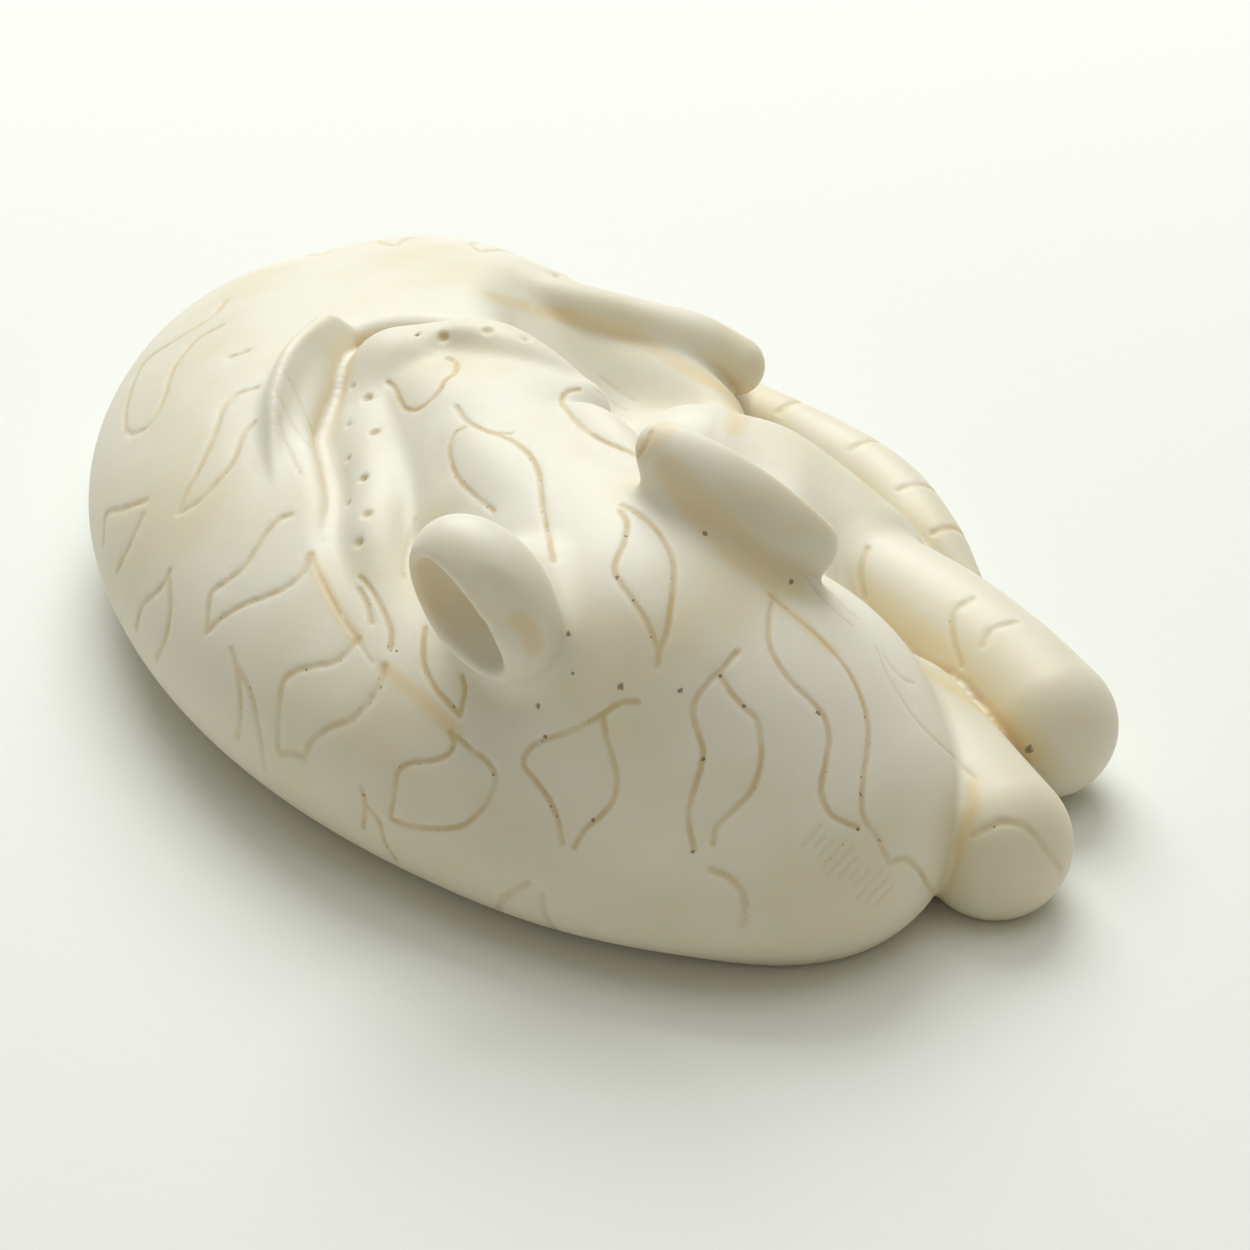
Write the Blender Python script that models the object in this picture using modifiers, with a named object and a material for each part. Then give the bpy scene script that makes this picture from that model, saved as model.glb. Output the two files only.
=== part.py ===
"""A sleeping tiger carved from one piece: it lies curled, its head laid back on its own flank.

The figure has a grid of its own: +X towards the forepaws, -Y towards the spine, +Z up. One unit of that
grid is LENGTH / UNITS_LONG, and each place and radius of the figure is a number of those units.
"""

import math

import bmesh
import bpy
import numpy as np
from mathutils import Vector, kdtree

LENGTH = 0.0552
UNITS_LONG = 55.2
GROOVE_WIDTH = 0.00062
GROOVE_DEPTH = 0.00030
CREASE_WIDTH = 0.0011
CREASE_DEPTH = 0.00050
PIT_WIDTH = 0.00085
PIT_DEPTH = 0.00038
UNDERSIDE_CUT = 0.0001
TRIANGLES = 9700
CREAM = (0.80, 0.75, 0.61, 1.0)
ROUGHNESS = 0.42

UNIT = LENGTH / UNITS_LONG
FINEST = 0.16
LEVEL = np.eye(3)


def unit_vector(values):
    vector = np.array(values, float)
    return vector / np.linalg.norm(vector)


# The head's own axes: forward to the nose, across to the right ear, and up through the forehead
FORWARD = unit_vector((-0.929, 0.372, -0.020))
ACROSS = np.array((0.337, 0.860, 0.377))
ACROSS = unit_vector(ACROSS - FORWARD * (ACROSS @ FORWARD))
CROWN = np.cross(FORWARD, ACROSS)
CROWN = CROWN * np.sign(CROWN[2])
HEAD_AXES = np.array((FORWARD, ACROSS, CROWN))
BETWEEN_EARS = np.array((8.4, -10.2, 14.0))


def on_head(forward, across, up):
    """A place given from the point between the ears, along the head's own axes."""
    return BETWEEN_EARS + np.array((forward, across, up)) @ HEAD_AXES


def on_head_all(rows):
    """The same for rows of forward, across, up and a radius."""
    return [(*on_head(*row[:3]), row[3]) for row in rows]


def turned(degrees):
    """Level axes turned about +Z."""
    angle = math.radians(degrees)
    return np.array(
        (
            (math.cos(angle), math.sin(angle), 0.0),
            (-math.sin(angle), math.cos(angle), 0.0),
            (0.0, 0.0, 1.0),
        )
    )


def smooth_path(knots, steps):
    """Points along a smooth curve through the knots, whose rows hold a place and may hold a radius too."""
    knots = np.array(knots, float)
    ends = np.vstack((2 * knots[0] - knots[1], knots, 2 * knots[-1] - knots[-2]))
    share = np.linspace(0, 1, steps, endpoint=False)[:, None]
    path = []
    for before, start, stop, after in zip(ends, ends[1:], ends[2:], ends[3:]):
        path.append(
            start
            + 0.5 * share * (stop - before)
            + share**2 * (before - 2.5 * start + 2 * stop - 0.5 * after)
            + share**3 * (1.5 * start - 0.5 * before - 1.5 * stop + 0.5 * after)
        )
    return np.vstack(path + [knots[-1:]])


class Ball:
    """One rounded mass: an ellipsoid with its own axes."""

    def __init__(self, centre, radii, axes=LEVEL):
        self.centre = np.array(centre, float)
        self.radii = np.array(radii, float)
        self.axes = axes
        self.middle = self.centre
        self.reach = self.radii.max()

    def distance(self, points):
        local = (points - self.centre) @ self.axes.T
        share = np.linalg.norm(local / self.radii, axis=1)
        slope = np.linalg.norm(local / self.radii**2, axis=1)
        return share * (share - 1) / np.maximum(slope, 1e-9)

    def add_to(self, body):
        made = bmesh.ops.create_icosphere(body, subdivisions=4, radius=1.0)
        for vertex in made["verts"]:
            vertex.co = Vector(self.centre + (np.array(vertex.co) * self.radii) @ self.axes)


class Limb:
    """A round limb that tapers along a smooth path; each knot is x, y, z and radius."""

    def __init__(self, knots):
        path = smooth_path(knots, 9)
        self.places = path[:, :3]
        self.radii = path[:, 3]
        self.middle = self.places.mean(axis=0)
        self.reach = (np.linalg.norm(self.places - self.middle, axis=1) + self.radii).max()

    def distance(self, points):
        """Measured from the two stretches of the path that meet at its nearest place."""
        squares = (points**2).sum(axis=1)[:, None] + (self.places**2).sum(axis=1)
        off = np.sqrt(np.maximum(squares - 2 * points @ self.places.T, 0)) - self.radii
        middle = off.argmin(axis=1)
        nearest = np.full(len(points), np.inf)
        for before in (1, 0):
            first = np.clip(middle - before, 0, len(self.places) - 2)
            start, along = self.places[first], self.places[first + 1] - self.places[first]
            share = np.clip(((points - start) * along).sum(axis=1) / (along**2).sum(axis=1), 0, 1)
            away = np.linalg.norm(points - start - share[:, None] * along, axis=1)
            radius = self.radii[first] + share * (self.radii[first + 1] - self.radii[first])
            nearest = np.minimum(nearest, away - radius)
        return nearest

    def add_to(self, body):
        for place, radius in zip(self.places, self.radii):
            Ball(place, (radius, radius, radius)).add_to(body)


def joined(first, second, blend):
    """Two distances made one, with a fillet about a quarter of the blend deep where the masses meet."""
    share = np.clip(0.5 + 0.5 * (second - first) / blend, 0, 1)
    return second + (first - second) * share - blend * share * (1 - share)


def join_to(nearest, points, mass, blend):
    """The distance with one more mass, worked out only where that mass can matter."""
    far = np.linalg.norm(points - mass.middle, axis=1) - mass.reach
    close = far < nearest + blend
    result = nearest.copy()
    result[close] = joined(nearest[close], mass.distance(points[close]), blend)
    return result


# The trunk: the rump, the long back that makes the near rim, the lap hollowed between head and hind leg,
# the bed that the limbs lie on, and the haunch
RUMP = Ball((-9.0, -1.6, 5.2), (23.0, 15.0, 7.3), turned(-29))
BACK = Ball((-3.2, -5.0, 3.6), (25.0, 13.0, 6.2), turned(-11.7))
LAP = Ball((-5.5, 9.0, 12.2), (11.5, 6.6, 6.0), turned(-18))
BED = Ball((-3.0, 5.0, 1.6), (21.0, 11.6, 3.6), turned(-12))
HAUNCH = Ball((-18.2, 7.8, 5.2), (8.4, 6.2, 5.4), turned(-24))

# The chest and neck, from the ears down to the near rim
NECK = Limb(((8.5, -8.5, 8.2, 6.6), (12.5, -7.4, 6.4, 6.3), (16.4, -6.8, 4.3, 5.5)))
CHEST = Ball((11.2, -4.6, 4.2), (8.6, 7.6, 7.2), turned(-30))

# The head: skull, bridge, cheek, muzzle, the two rolls that carry the whiskers with the hollow band above
# the right one, nose, chin and closed eyes
SKULL = Ball(on_head(2.0, -0.4, -6.0), (8.5, 7.2, 6.8), HEAD_AXES)
BRIDGE = Ball(on_head(9.5, -0.6, -4.6), (8.0, 6.2, 4.9), HEAD_AXES)
CHEEK = Ball(on_head(6.5, -4.2, -5.8), (8.0, 4.6, 4.2), HEAD_AXES)
MUZZLE = Ball(on_head(16.0, -0.3, -3.9), (5.8, 5.3, 3.9), HEAD_AXES)
LEFT_PAD = Limb(
    on_head_all(((22.2, -0.8, -3.1, 2.0), (18.8, -4.0, -2.9, 2.5), (13.4, -6.0, -3.5, 2.0)))
)
RIGHT_PAD = Limb(
    on_head_all(((22.6, -0.2, -3.0, 2.0), (20.2, 2.8, -2.8, 2.1), (15.8, 4.4, -3.9, 1.7)))
)
NOSE = Ball(on_head(17.9, -0.2, -1.4), (2.7, 1.7, 1.1), HEAD_AXES)
CHIN = Ball(on_head(18.6, -0.2, -6.0), (3.4, 3.4, 1.9), HEAD_AXES)
HOLLOW_BAND = Limb(
    on_head_all(((20.4, 1.8, -0.4, 0.4), (18.2, 3.4, -0.6, 0.6), (16.5, 5.6, -2.2, 0.4)))
)
LEFT_EYE = Ball(on_head(10.2, -0.5, -0.7), (4.4, 1.5, 1.0), HEAD_AXES)
RIGHT_EYE = Ball(on_head(10.0, 4.0, -2.1), (3.8, 1.4, 1.1), HEAD_AXES)

# The ears: each a cup on its side, with its long axis first and the way it opens last. The left one has a
# root and a shallow channel beside its hollow
LEFT_OPENS = unit_vector((-0.096, -0.965, -0.215))
LEFT_LONG = unit_vector((0.716, 0.083, -0.687))
LEFT_AXES = np.array((LEFT_LONG, np.cross(LEFT_OPENS, LEFT_LONG), LEFT_OPENS))
LEFT_EAR_PLACE = np.array((6.45, -16.2, 14.2))
RIGHT_LONG = unit_vector((0.809, 0.358, -0.466))
RIGHT_OPENS = unit_vector((0.099, 0.698, 0.709))
RIGHT_AXES = np.array((RIGHT_LONG, np.cross(RIGHT_OPENS, RIGHT_LONG), RIGHT_OPENS))
RIGHT_EAR_PLACE = np.array((9.5, -3.8, 15.2))
LEFT_EAR = Ball(LEFT_EAR_PLACE - 0.8 * LEFT_OPENS, (3.7, 3.1, 2.5), LEFT_AXES)
LEFT_HOLLOW = Ball(LEFT_EAR_PLACE + 1.6 * LEFT_OPENS, (2.9, 2.25, 3.4), LEFT_AXES)
LEFT_CHANNEL = Limb(((8.6, -17.1, 16.6, 0.5), (9.6, -16.8, 15.6, 0.75), (10.2, -16.3, 14.3, 0.5)))
LEFT_ROOT = Limb(((6.0, -14.6, 13.7, 1.9), (5.0, -12.8, 12.5, 2.4)))
RIGHT_EAR = Ball(RIGHT_EAR_PLACE, (4.7, 2.4, 2.2), RIGHT_AXES)
RIGHT_HOLLOW = Ball(RIGHT_EAR_PLACE + 1.9 * RIGHT_OPENS, (3.8, 1.4, 2.2), RIGHT_AXES)

# The limbs: hind leg, the thigh before it and the foot under it, the foreleg's upper part, foreleg, second
# forepaw, and the paw that stands beside the muzzle; then the tail, which follows the far rim
HIND_LEG = Limb(
    (
        (-17.4, 9.4, 9.3, 1.4),
        (-14.6, 11.1, 9.1, 1.2),
        (-12.3, 13.1, 8.4, 1.1),
        (-10.1, 15.0, 7.4, 1.3),
        (-8.5, 16.2, 6.2, 1.4),
    )
)
THIGH = Limb(
    (
        (-14.1, 10.5, 6.4, 2.0),
        (-10.7, 12.4, 5.6, 2.2),
        (-7.8, 13.1, 4.6, 2.0),
    )
)
HIND_FOOT = Limb(((-17.3, 12.6, 5.6, 3.0), (-13.3, 14.6, 4.4, 2.5), (-10.4, 16.2, 3.2, 2.1)))
UPPER_ARM = Limb(((-2.6, 7.2, 5.4, 4.2), (0.6, 8.9, 4.9, 3.6), (4.6, 9.4, 4.3, 2.9)))
FOREARM = Limb(
    ((5.3, 8.7, 4.2, 2.5), (10.6, 8.2, 4.0, 2.7), (14.7, 7.3, 3.6, 2.9), (17.9, 6.4, 3.0, 3.1))
)
SECOND_PAW = Limb(((14.0, 1.0, 3.2, 3.6), (21.6, -1.3, 2.6, 3.2)))
CHIN_PAW = Limb(
    (
        (-16.1, -1.9, 12.0, 1.2),
        (-14.5, -4.2, 11.8, 1.9),
        (-12.9, -6.1, 11.5, 2.1),
        (-11.1, -7.9, 11.2, 1.9),
        (-9.5, -9.3, 10.9, 1.5),
        (-8.0, -10.6, 10.5, 1.0),
        (-6.0, -12.1, 10.1, 0.7),
    )
)
TAIL = Limb(
    (
        (-25.0, 4.0, 4.4, 3.0),
        (-22.6, 12.0, 3.2, 2.5),
        (-14.0, 17.2, 2.2, 2.0),
        (-7.0, 18.2, 2.0, 1.9),
        (-1.0, 17.6, 2.1, 1.8),
        (3.4, 16.0, 1.9, 1.5),
        (6.4, 14.9, 1.3, 0.9),
    )
)

HEAD = (
    (BRIDGE, 2.0),
    (MUZZLE, 1.5),
    (CHEEK, 2.0),
    (LEFT_PAD, 1.2),
    (RIGHT_PAD, 1.4),
    (NOSE, 0.8),
    (CHIN, 0.6),
    (LEFT_EYE, 0.5),
    (RIGHT_EYE, 0.5),
)
FRONT = ((CHEST, 3.0),)
REST = (
    (CHIN_PAW, 0.6),
    (UPPER_ARM, 2.5),
    (HIND_FOOT, 0.8),
    (THIGH, 1.2),
    (HIND_LEG, 0.5),
    (TAIL, 0.4),
    (FOREARM, 0.5),
    (SECOND_PAW, 0.4),
)
VALLEY_FLOOR = 10.9
VALLEY_GAP = 0.7
VALLEY_SPREAD = 0.35
VALLEY_WIDTH = 0.9
EARS = (((LEFT_EAR, LEFT_ROOT), (LEFT_HOLLOW, LEFT_CHANNEL)), ((RIGHT_EAR,), (RIGHT_HOLLOW,)))


def group(points, first, others):
    nearest = first.distance(points)
    for mass, blend in others:
        nearest = join_to(nearest, points, mass, blend)
    return nearest


def field(points):
    """How far each point lies outside the figure's skin, in units; negative inside."""
    height = points[:, 2]
    nearest = joined(RUMP.distance(points), BACK.distance(points), 2.0)
    nearest = -joined(-nearest, LAP.distance(points), 1.5)
    nearest = join_to(nearest, points, BED, 1.5)
    nearest = join_to(nearest, points, HAUNCH, 2.0)
    head = group(points, SKULL, HEAD)
    head = -joined(-head, HOLLOW_BAND.distance(points), 0.5)
    valley = (head - VALLEY_GAP - VALLEY_SPREAD * (height - VALLEY_FLOOR)) / math.hypot(1, VALLEY_SPREAD)
    valley = np.maximum(valley, VALLEY_FLOOR - height)
    nearest = -joined(-nearest, valley, 1.0)
    nearest = joined(nearest, group(points, NECK, FRONT), 3.0)
    for mass, blend in REST:
        nearest = join_to(nearest, points, mass, blend)
    nearest = joined(nearest, head, 0.5)
    for (ear, *root), hollows in EARS:
        cup = group(points, ear, [(mass, 1.0) for mass in root])
        for hollow in hollows:
            cup = -joined(-cup, hollow.distance(points), 0.6)
        nearest = joined(nearest, cup, 1.5)
    return np.maximum(nearest, -height)


def slope(points, step=0.04):
    """The direction straight out of the skin at each point."""
    corners = np.array(((1, -1, -1), (-1, -1, 1), (-1, 1, -1), (1, 1, 1)), float)
    out = sum(corner * field(points + corner * step)[:, None] for corner in corners)
    return out / np.maximum(np.linalg.norm(out, axis=1, keepdims=True), 1e-9)


def settled(points, passes, furthest):
    """Points brought onto the skin, moving no further than this in one pass."""
    for _ in range(passes):
        off = np.clip(field(points), -furthest, furthest)
        points = points - off[:, None] * slope(points)
    return points


def places_of(mesh):
    flat = np.empty(len(mesh.vertices) * 3)
    mesh.vertices.foreach_get("co", flat)
    return flat.reshape(-1, 3)


def set_places(mesh, points):
    mesh.vertices.foreach_set("co", points.ravel())
    mesh.update()


def object_of(mesh):
    holder = bpy.data.objects.new("working", mesh)
    bpy.context.scene.collection.objects.link(holder)
    return holder


def with_modifier(mesh, kind, **settings):
    """The mesh as one modifier leaves it."""
    holder = object_of(mesh)
    modifier = holder.modifiers.new("working", kind)
    for name, value in settings.items():
        setattr(modifier, name, value)
    graph = bpy.context.evaluated_depsgraph_get()
    result = bpy.data.meshes.new_from_object(holder.evaluated_get(graph))
    bpy.data.objects.remove(holder)
    bpy.data.meshes.remove(mesh)
    return result


def combined(mesh, other, operation):
    """One mesh after a Boolean with another."""
    cutter = object_of(other)
    result = with_modifier(mesh, "BOOLEAN", object=cutter, operation=operation, solver="EXACT")
    bpy.data.objects.remove(cutter)
    bpy.data.meshes.remove(other)
    return result


def wrapped(masses, voxel, also=()):
    """Overlapping primitives, and any meshes already made, under one even skin."""
    body = bmesh.new()
    for mass in masses:
        mass.add_to(body)
    for mesh in also:
        body.from_mesh(mesh)
    whole = bpy.data.meshes.new("wrapped")
    body.to_mesh(whole)
    body.free()
    return with_modifier(whole, "REMESH", mode="VOXEL", voxel_size=voxel)


def ball_mesh(ball):
    body = bmesh.new()
    ball.add_to(body)
    mesh = bpy.data.meshes.new("ball")
    body.to_mesh(mesh)
    body.free()
    return mesh


def valley_mesh():
    """The head swollen by its gap, and kept above the valley's floor."""
    balls = [SKULL, BRIDGE, CHEEK, MUZZLE, CHIN]
    for pad in (LEFT_PAD, RIGHT_PAD):
        balls += [Ball(place, [radius] * 3) for place, radius in zip(pad.places, pad.radii)]
    swollen = [Ball(ball.centre, ball.radii + VALLEY_WIDTH, ball.axes) for ball in balls]
    above = bmesh.new()
    bmesh.ops.create_cube(above, size=60.0)
    bmesh.ops.translate(above, verts=above.verts, vec=(0.0, 0.0, VALLEY_FLOOR + 30.0))
    box = bpy.data.meshes.new("above")
    above.to_mesh(box)
    above.free()
    return combined(wrapped(swollen, 0.6), box, "INTERSECT")


def skinned():
    """The figure's smooth skin, all one closed surface of even, small faces."""
    trunk = wrapped((RUMP, BACK), 0.6)
    trunk = combined(trunk, ball_mesh(LAP), "DIFFERENCE")
    trunk = wrapped((BED, HAUNCH), 0.6, [trunk])
    trunk = combined(trunk, valley_mesh(), "DIFFERENCE")
    ears = [combined(ball_mesh(ear[0]), ball_mesh(hollow[0]), "DIFFERENCE") for ear, hollow in EARS]
    masses = [NECK, SKULL, LEFT_ROOT] + [mass for mass, _ in HEAD + FRONT + REST]
    mesh = wrapped(masses, 0.4, [trunk] + ears)
    for passes in (4, 3):
        mesh = with_modifier(mesh, "SMOOTH", factor=0.5, iterations=4)
        set_places(mesh, settled(places_of(mesh), passes, 0.3))
    mesh = with_modifier(mesh, "REMESH", mode="VOXEL", voxel_size=FINEST)
    mesh = with_modifier(mesh, "SMOOTH", factor=0.5, iterations=3)
    set_places(mesh, engraved(settled(places_of(mesh), 2, 0.2)))
    return mesh


def line(knots):
    """A carved line through a few places near the skin, as close-set places on it."""
    return settled(smooth_path(knots, 12), 6, 0.5)


def head_line(knots):
    return line([on_head(*knot) for knot in knots])


def leaf(start, stop, width, bend=0.0, sway=0.0):
    """The outline of one stripe, pointed at both ends: bend bows it to one side, sway gives it an S."""
    start = np.array(start, float)
    run = np.array(stop, float) - start
    across = unit_vector(np.cross(slope((start + run / 2)[None])[0], run))
    count = int(8 * np.linalg.norm(run))
    share = np.linspace(0, 1, count)
    shift = bend * 4 * share * (1 - share) + sway * np.sin(2 * math.pi * share)
    half = width / 2 * np.sin(math.pi * share) ** 0.8
    edges = []
    for side in (-1, 1):
        ripple = 0.09 * width * np.sin(3 * math.pi * share + side)
        off = shift + side * half + ripple * np.sin(math.pi * share)
        edges.append(start + run * share[:, None] + across * off[:, None])
    return settled(np.vstack(edges), 6, 0.5)


# Outlined stripes: the two ends, the width, the bow and the sway
STRIPES = (
    ((14.3, -9.2, 12.6), (16.8, -14.2, 6.2), 2.2, -0.3, 0.3),
    ((13.5, -6.0, 13.1), (21.1, -9.2, 6.9), 2.4, 0.6, 0.4),
    ((12.0, -13.5, 11.2), (12.1, -16.8, 5.6), 2.9, -0.4, 0.4),
    ((5.6, -16.0, 8.4), (5.2, -18.9, 4.2), 3.2, 0.0, -0.4),
    ((6.3, -7.2, 15.0), (12.9, -12.2, 12.2), 2.0, 0.2, -0.3),
    ((0.6, -13.4, 9.6), (5.6, -16.1, 8.6), 1.3, 0.0, 0.2),
    ((-6.2, -12.8, 10.9), (-8.2, -17.6, 7.2), 2.5, 0.2, -0.5),
    ((0.3, -15.6, 9.4), (-1.2, -19.2, 4.8), 3.0, 0.0, 0.5),
    ((-5.8, -17.9, 7.5), (-3.8, -19.1, 4.1), 1.5, 0.0, 0.2),
    ((-12.0, -15.5, 8.0), (-12.6, -17.0, 4.3), 1.8, 0.0, -0.2),
    ((-16.2, -12.6, 8.7), (-17.8, -14.2, 5.8), 2.4, 0.0, 0.3),
    ((-16.2, -9.6, 10.6), (-12.9, -13.6, 9.4), 2.2, 0.3, 0.4),
    ((-24.2, 0.6, 10.0), (-20.7, -9.6, 8.6), 2.5, 0.6, 0.5),
)


def haunch_stripes():
    """Plain stripes side by side over the haunch, on the far side."""
    stripes = []
    for place in range(4):
        top = (-24.8 + 3.1 * place, 6.2 + 1.7 * place, 8.9)
        foot = (-26.6 + 3.3 * place, 9.6 + 1.8 * place, 4.6)
        stripes.append(leaf(top, foot, 1.7, 0.2, 0.25))
    return stripes


def tail_rings():
    """Lines across the tail, evenly spaced, from its underside over its top."""
    rings = []
    for place in range(13, len(TAIL.places) - 5, 7):
        along = TAIL.places[place + 1] - TAIL.places[place - 1]
        outward = unit_vector(np.cross((0.0, 0.0, 1.0), along))
        turns = np.radians((-30, 20, 70, 110))
        arc = [(math.cos(turn) * outward, math.sin(turn)) for turn in turns]
        knots = [TAIL.places[place] + TAIL.radii[place] * (side + (0, 0, up)) for side, up in arc]
        rings.append(line(knots))
    return rings


def carved_lines():
    """Every groove: the stripes' outlines, closed eyes, nose, single strokes and claws."""
    lines = [leaf(*stripe) for stripe in STRIPES] + haunch_stripes() + tail_rings()
    nose = ((20.2, -1, -1), (19.9, 1.3, -1), (17.8, 1.3, -1), (16, 0, -1), (18.1, -1.6, -1), (20.2, -1, -1))
    brow = ((15.2, 0.1, 0), (12.3, 0.6, 0), (9.6, 0.9, 0), (6.4, 0.3, 0), (1.5, -1.4, 0))
    lines.append(head_line(brow))
    lines.append(head_line(((13.8, -0.4, 0), (12.5, -1.7, 0), (10.6, -2.0, 0), (7.0, -1.8, 0))))
    lines.append(head_line(((15.1, 5.0, -2), (11.8, 3.6, -1), (8.0, 4.1, -1))))
    lines.append(head_line(((14.0, 5.8, -3), (11.0, 5.6, -2), (8.6, 5.0, -2))))
    lines.append(head_line(nose))
    lines.append(head_line(((23.0, 0.0, -2.0), (24.0, 0.0, -3.6), (23.4, 0.0, -4.8))))
    lines.append(line(((-19.7, -4.6, 10.9), (-17.7, -2.5, 12.5))))
    lines.append(line(((2.7, -18.8, 5.3), (2.8, -19.0, 3.3), (3.9, -18.5, 2.0))))
    lines.append(line(((13.2, -3.4, 12.7), (13.8, -2.5, 11.5), (14.9, -2.3, 10.9))))
    lines.append(line(((16.3, -2.8, 10.4), (18.7, -3.6, 8.9), (19.6, -1.7, 6.2))))
    lines.append(line(((9.3, -17.9, 1.9), (11.0, -18.1, 4.0))))
    lines.append(line(((11.8, -17.9, 3.6), (11.1, -16.9, 1.2))))
    lines.append(line(((17.5, -14.1, 5.7), (19.1, -13.8, 4.6))))
    for claw in range(3):
        root = np.array((-14.0, -6.6, 13.4)) + claw * np.array((0.9, -1.2, -0.5))
        lines.append(line((root, root + (3.9, -2.1, -0.6))))
    lines.append(line(((12.8, 7.6, 6.6), (12.8, 6.4, 6.3), (14.4, 4.9, 5.2))))
    lines.append(line(((15.2, 7.6, 6.4), (14.8, 6.6, 6.4), (14.9, 5.7, 6.0))))
    lines.append(line(((6.8, 7.7, 6.6), (7.3, 6.7, 5.9), (8.2, 6.1, 5.2))))
    return lines


def creases():
    """The deeper lines: the mouth, and the folds of the second forepaw and the neck."""
    mouth = ((16.5, -6.4, -5.2), (19.6, -5.6, -5.1), (23.6, 0, -4.8), (20, 6, -5.2), (15.5, 6.6, -5.6))
    return [
        head_line(mouth),
        line(((22.2, -3.8, 4.4), (23.3, -2.6, 5.0), (24.6, -1.4, 3.6))),
        line(((21.6, -8.8, 6.3), (22.2, -7.7, 5.3), (22.2, -5.9, 2.9))),
    ]


def pits():
    """The whisker pits on both pads, and the nostrils."""
    left = ((22.4, -2.0), (20.0, -2.6), (17.1, -3.3), (15.9, -4.8), (13.6, -5.6), (11.6, -6.6))
    right = ((23.6, 1.5), (21.6, 3.0), (19.0, 3.4), (17.4, 4.6), (15.0, 5.0))
    nostrils = ((20.9, -0.7), (20.9, 0.8))
    return settled(np.array([on_head(*place, -0.8) for place in left + right + nostrils]), 8, 0.5)


def engraved(points):
    """The places on the skin pushed in along every line and pit."""
    kinds = (
        (np.vstack(carved_lines()), GROOVE_WIDTH, GROOVE_DEPTH),
        (np.vstack(creases()), CREASE_WIDTH, CREASE_DEPTH),
        (pits(), PIT_WIDTH, PIT_DEPTH),
    )
    deep = np.zeros(len(points))
    for marks, width, depth in kinds:
        half = width / 2 / UNIT
        tree = kdtree.KDTree(len(marks))
        for number, mark in enumerate(marks):
            tree.insert(mark, number)
        tree.balance()
        off = np.array([tree.find(point)[2] for point in points])
        deep = np.maximum(deep, depth / UNIT * np.clip(1 - (off / half) ** 2, 0, 1))
    cut = deep > 0
    points = points.copy()
    points[cut] -= deep[cut, None] * slope(points[cut])
    return points


def finished(mesh):
    """The skin with fewer faces, cut flat underneath."""
    faces = sum(len(polygon.vertices) - 2 for polygon in mesh.polygons)
    mesh = with_modifier(mesh, "DECIMATE", decimate_type="COLLAPSE", ratio=TRIANGLES / faces)
    body = bmesh.new()
    body.from_mesh(mesh)
    cut = bmesh.ops.bisect_plane(
        body,
        geom=body.verts[:] + body.edges[:] + body.faces[:],
        plane_co=(0.0, 0.0, UNDERSIDE_CUT / UNIT),
        plane_no=(0.0, 0.0, -1.0),
        clear_outer=True,
    )
    rim = [item for item in cut["geom_cut"] if isinstance(item, bmesh.types.BMEdge)]
    bmesh.ops.triangle_fill(body, edges=rim, use_beauty=True, normal=(0.0, 0.0, -1.0))
    bmesh.ops.recalc_face_normals(body, faces=body.faces[:])
    body.to_mesh(mesh)
    body.free()
    set_places(mesh, places_of(mesh) * UNIT)
    return mesh


def over_origin(mesh):
    """Where the mesh is put so that the middle of the bottom of its box is at the origin."""
    points = places_of(mesh)
    low, high = points.min(axis=0), points.max(axis=0)
    return (-(low[0] + high[0]) / 2, -(low[1] + high[1]) / 2, -low[2])


def cream_material():
    material = bpy.data.materials.new("pale_carving")
    material.use_nodes = True
    shader = material.node_tree.nodes["Principled BSDF"]
    shader.inputs["Base Color"].default_value = CREAM
    shader.inputs["Roughness"].default_value = ROUGHNESS
    shader.inputs["Metallic"].default_value = 0.0
    return material


for old in list(bpy.data.objects):
    bpy.data.objects.remove(old)
home = bpy.data.collections.new("okimono")
bpy.context.scene.collection.children.link(home)
skin = finished(skinned())
skin.materials.append(cream_material())
skin.shade_smooth()
tiger = bpy.data.objects.new("tiger", skin)
tiger.location = over_origin(skin)
home.objects.link(tiger)
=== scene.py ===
import math

import bmesh
import bpy
import numpy as np
from mathutils import Matrix, Vector, kdtree


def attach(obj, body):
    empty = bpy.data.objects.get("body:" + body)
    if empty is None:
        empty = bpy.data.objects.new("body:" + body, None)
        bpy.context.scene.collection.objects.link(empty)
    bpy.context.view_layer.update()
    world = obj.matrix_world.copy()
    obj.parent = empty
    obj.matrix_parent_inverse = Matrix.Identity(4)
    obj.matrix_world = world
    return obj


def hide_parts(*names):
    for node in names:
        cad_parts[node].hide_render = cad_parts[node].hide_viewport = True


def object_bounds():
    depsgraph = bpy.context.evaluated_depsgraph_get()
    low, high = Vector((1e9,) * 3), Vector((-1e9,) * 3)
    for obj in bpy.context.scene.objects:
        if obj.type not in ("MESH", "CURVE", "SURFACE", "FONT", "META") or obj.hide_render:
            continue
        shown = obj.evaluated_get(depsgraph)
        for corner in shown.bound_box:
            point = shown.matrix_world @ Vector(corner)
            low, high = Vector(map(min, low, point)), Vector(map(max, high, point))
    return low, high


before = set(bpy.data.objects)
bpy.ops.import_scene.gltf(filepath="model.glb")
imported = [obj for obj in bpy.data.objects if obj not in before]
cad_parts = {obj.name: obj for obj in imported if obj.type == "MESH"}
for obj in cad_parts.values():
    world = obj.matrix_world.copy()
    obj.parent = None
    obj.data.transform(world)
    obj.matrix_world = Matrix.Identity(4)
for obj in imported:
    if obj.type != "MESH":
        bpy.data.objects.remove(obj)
solid_low, solid_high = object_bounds()

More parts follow.
